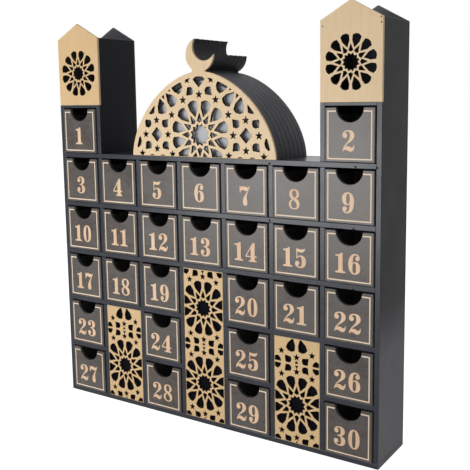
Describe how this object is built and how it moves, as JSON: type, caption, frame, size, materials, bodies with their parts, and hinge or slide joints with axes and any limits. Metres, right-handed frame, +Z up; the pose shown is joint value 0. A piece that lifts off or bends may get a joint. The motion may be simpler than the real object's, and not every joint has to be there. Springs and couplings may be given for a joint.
{
  "type": "countdown calendar",
  "caption": "Mosque-shaped wooden countdown cabinet with numbered sliding drawers, pierced star-pattern panels, two gabled towers and a dome with a crescent.",
  "frame": {"origin": "middle of the overall box at the underside of the base board", "axes": "+X to the right as seen from the front, +Y to the back, +Z up; the drawers open towards -Y"},
  "size_m": [0.39, 0.0636, 0.425],
  "materials": {
    "black_board": "satin dark grey-black paint on fibreboard",
    "drawer_paint": "satin grey-black paint on fibreboard",
    "gold_board": "pale gold paint on thin fibreboard",
    "backing_black": "matte black paint",
    "pale_backing": "matte pale grey-white sheet"
  },
  "bodies": {
    "cabinet": {"base_board": "black_board", "left_side_board": "black_board", "right_side_board": "black_board", "top_board": "black_board", "back_panel": "black_board", "shelf_1": "black_board", "shelf_2": "black_board", "shelf_3": "black_board", "shelf_4": "black_board", "divider_1": "black_board", "divider_2": "black_board", "divider_3": "black_board", "divider_4": "black_board", "divider_5": "black_board", "divider_6": "black_board", "left_tower_shelf": "black_board", "right_tower_shelf": "black_board", "left_tower_plate": "gold_board", "right_tower_plate": "gold_board", "lattice_1": "gold_board", "lattice_2": "gold_board", "lattice_3": "gold_board", "dome_lattice": "gold_board", "lattice_backing_1": "backing_black", "lattice_backing_2": "backing_black", "lattice_backing_3": "backing_black", "dome_arch_1": "black_board", "dome_arch_2": "black_board", "dome_arch_3": "black_board", "dome_backing": "pale_backing"},
    "drawer_01": {"drawer_01": "drawer_paint"},
    "drawer_02": {"drawer_02": "drawer_paint"},
    "drawer_03": {"drawer_03": "drawer_paint"},
    "drawer_04": {"drawer_04": "drawer_paint"},
    "drawer_05": {"drawer_05": "drawer_paint"},
    "drawer_06": {"drawer_06": "drawer_paint"},
    "drawer_07": {"drawer_07": "drawer_paint"},
    "drawer_08": {"drawer_08": "drawer_paint"},
    "drawer_09": {"drawer_09": "drawer_paint"},
    "drawer_10": {"drawer_10": "drawer_paint"},
    "drawer_11": {"drawer_11": "drawer_paint"},
    "drawer_12": {"drawer_12": "drawer_paint"},
    "drawer_13": {"drawer_13": "drawer_paint"},
    "drawer_14": {"drawer_14": "drawer_paint"},
    "drawer_15": {"drawer_15": "drawer_paint"},
    "drawer_16": {"drawer_16": "drawer_paint"},
    "drawer_17": {"drawer_17": "drawer_paint"},
    "drawer_18": {"drawer_18": "drawer_paint"},
    "drawer_19": {"drawer_19": "drawer_paint"},
    "drawer_20": {"drawer_20": "drawer_paint"},
    "drawer_21": {"drawer_21": "drawer_paint"},
    "drawer_22": {"drawer_22": "drawer_paint"},
    "drawer_23": {"drawer_23": "drawer_paint"},
    "drawer_24": {"drawer_24": "drawer_paint"},
    "drawer_25": {"drawer_25": "drawer_paint"},
    "drawer_26": {"drawer_26": "drawer_paint"},
    "drawer_27": {"drawer_27": "drawer_paint"},
    "drawer_28": {"drawer_28": "drawer_paint"},
    "drawer_29": {"drawer_29": "drawer_paint"},
    "drawer_30": {"drawer_30": "drawer_paint"}
  },
  "joints": [
    {"name": "drawer_01_slide", "type": "slide", "parent": "cabinet", "child": "drawer_01", "axis": [0, -1, 0], "range_m": [0, 0.045]},
    {"name": "drawer_02_slide", "type": "slide", "parent": "cabinet", "child": "drawer_02", "axis": [0, -1, 0], "range_m": [0, 0.045]},
    {"name": "drawer_03_slide", "type": "slide", "parent": "cabinet", "child": "drawer_03", "axis": [0, -1, 0], "range_m": [0, 0.045]},
    {"name": "drawer_04_slide", "type": "slide", "parent": "cabinet", "child": "drawer_04", "axis": [0, -1, 0], "range_m": [0, 0.045]},
    {"name": "drawer_05_slide", "type": "slide", "parent": "cabinet", "child": "drawer_05", "axis": [0, -1, 0], "range_m": [0, 0.045]},
    {"name": "drawer_06_slide", "type": "slide", "parent": "cabinet", "child": "drawer_06", "axis": [0, -1, 0], "range_m": [0, 0.045]},
    {"name": "drawer_07_slide", "type": "slide", "parent": "cabinet", "child": "drawer_07", "axis": [0, -1, 0], "range_m": [0, 0.045]},
    {"name": "drawer_08_slide", "type": "slide", "parent": "cabinet", "child": "drawer_08", "axis": [0, -1, 0], "range_m": [0, 0.045]},
    {"name": "drawer_09_slide", "type": "slide", "parent": "cabinet", "child": "drawer_09", "axis": [0, -1, 0], "range_m": [0, 0.045]},
    {"name": "drawer_10_slide", "type": "slide", "parent": "cabinet", "child": "drawer_10", "axis": [0, -1, 0], "range_m": [0, 0.045]},
    {"name": "drawer_11_slide", "type": "slide", "parent": "cabinet", "child": "drawer_11", "axis": [0, -1, 0], "range_m": [0, 0.045]},
    {"name": "drawer_12_slide", "type": "slide", "parent": "cabinet", "child": "drawer_12", "axis": [0, -1, 0], "range_m": [0, 0.045]},
    {"name": "drawer_13_slide", "type": "slide", "parent": "cabinet", "child": "drawer_13", "axis": [0, -1, 0], "range_m": [0, 0.045]},
    {"name": "drawer_14_slide", "type": "slide", "parent": "cabinet", "child": "drawer_14", "axis": [0, -1, 0], "range_m": [0, 0.045]},
    {"name": "drawer_15_slide", "type": "slide", "parent": "cabinet", "child": "drawer_15", "axis": [0, -1, 0], "range_m": [0, 0.045]},
    {"name": "drawer_16_slide", "type": "slide", "parent": "cabinet", "child": "drawer_16", "axis": [0, -1, 0], "range_m": [0, 0.045]},
    {"name": "drawer_17_slide", "type": "slide", "parent": "cabinet", "child": "drawer_17", "axis": [0, -1, 0], "range_m": [0, 0.045]},
    {"name": "drawer_18_slide", "type": "slide", "parent": "cabinet", "child": "drawer_18", "axis": [0, -1, 0], "range_m": [0, 0.045]},
    {"name": "drawer_19_slide", "type": "slide", "parent": "cabinet", "child": "drawer_19", "axis": [0, -1, 0], "range_m": [0, 0.045]},
    {"name": "drawer_20_slide", "type": "slide", "parent": "cabinet", "child": "drawer_20", "axis": [0, -1, 0], "range_m": [0, 0.045]},
    {"name": "drawer_21_slide", "type": "slide", "parent": "cabinet", "child": "drawer_21", "axis": [0, -1, 0], "range_m": [0, 0.045]},
    {"name": "drawer_22_slide", "type": "slide", "parent": "cabinet", "child": "drawer_22", "axis": [0, -1, 0], "range_m": [0, 0.045]},
    {"name": "drawer_23_slide", "type": "slide", "parent": "cabinet", "child": "drawer_23", "axis": [0, -1, 0], "range_m": [0, 0.045]},
    {"name": "drawer_24_slide", "type": "slide", "parent": "cabinet", "child": "drawer_24", "axis": [0, -1, 0], "range_m": [0, 0.045]},
    {"name": "drawer_25_slide", "type": "slide", "parent": "cabinet", "child": "drawer_25", "axis": [0, -1, 0], "range_m": [0, 0.045]},
    {"name": "drawer_26_slide", "type": "slide", "parent": "cabinet", "child": "drawer_26", "axis": [0, -1, 0], "range_m": [0, 0.045]},
    {"name": "drawer_27_slide", "type": "slide", "parent": "cabinet", "child": "drawer_27", "axis": [0, -1, 0], "range_m": [0, 0.045]},
    {"name": "drawer_28_slide", "type": "slide", "parent": "cabinet", "child": "drawer_28", "axis": [0, -1, 0], "range_m": [0, 0.045]},
    {"name": "drawer_29_slide", "type": "slide", "parent": "cabinet", "child": "drawer_29", "axis": [0, -1, 0], "range_m": [0, 0.045]},
    {"name": "drawer_30_slide", "type": "slide", "parent": "cabinet", "child": "drawer_30", "axis": [0, -1, 0], "range_m": [0, 0.045]}
  ]
}
